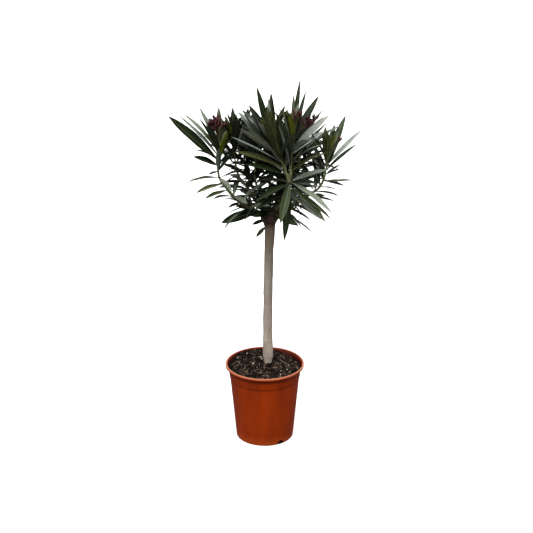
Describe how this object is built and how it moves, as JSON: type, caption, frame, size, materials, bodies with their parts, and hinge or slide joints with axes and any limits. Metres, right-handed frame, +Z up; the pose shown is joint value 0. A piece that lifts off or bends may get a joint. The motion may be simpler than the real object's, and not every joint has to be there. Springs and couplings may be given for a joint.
{
  "type": "potted oleander standard",
  "caption": "Standard oleander in a tapered nursery pot: a bare trunk forks into spreading boughs that carry a round crown of narrow leaves and flower buds.",
  "frame": {"origin": "centre of the pot's flat underside, on the surface that the pot stands on", "axes": "+Z up along the trunk, -Y towards the front, +X to the right seen from the front"},
  "size_m": [0.4853, 0.435, 0.961],
  "materials": {
    "pot_plastic": "satin",
    "compost": "matte",
    "bark": "matte",
    "green_wood": "matte",
    "leaf": "satin",
    "flower_buds": "matte"
  },
  "bodies": {
    "root": {"bough_back": "green_wood", "bough_back_left": "green_wood", "bough_back_right": "green_wood", "bough_front": "green_wood", "bough_inner_left": "green_wood", "bough_left_back": "green_wood", "bough_left_front": "green_wood", "bough_middle_front": "green_wood", "bough_right": "green_wood", "bough_right_back": "green_wood", "bough_right_front": "green_wood", "leaves_back": "leaf", "leaves_back_left": "leaf", "leaves_back_right": "leaf", "leaves_front": "leaf", "leaves_inner_left": "leaf", "leaves_left_back": "leaf", "leaves_left_front": "leaf", "leaves_left_front_low": "leaf", "leaves_low_left": "leaf", "leaves_low_right": "leaf", "leaves_middle_front": "leaf", "leaves_right": "leaf", "leaves_right_back": "leaf", "leaves_right_front": "leaf", "leaves_right_low": "leaf", "pot": "pot_plastic", "soil": "compost", "trunk": "bark", "twig_low_left": "green_wood", "twig_low_right": "green_wood"}
  },
  "joints": []
}
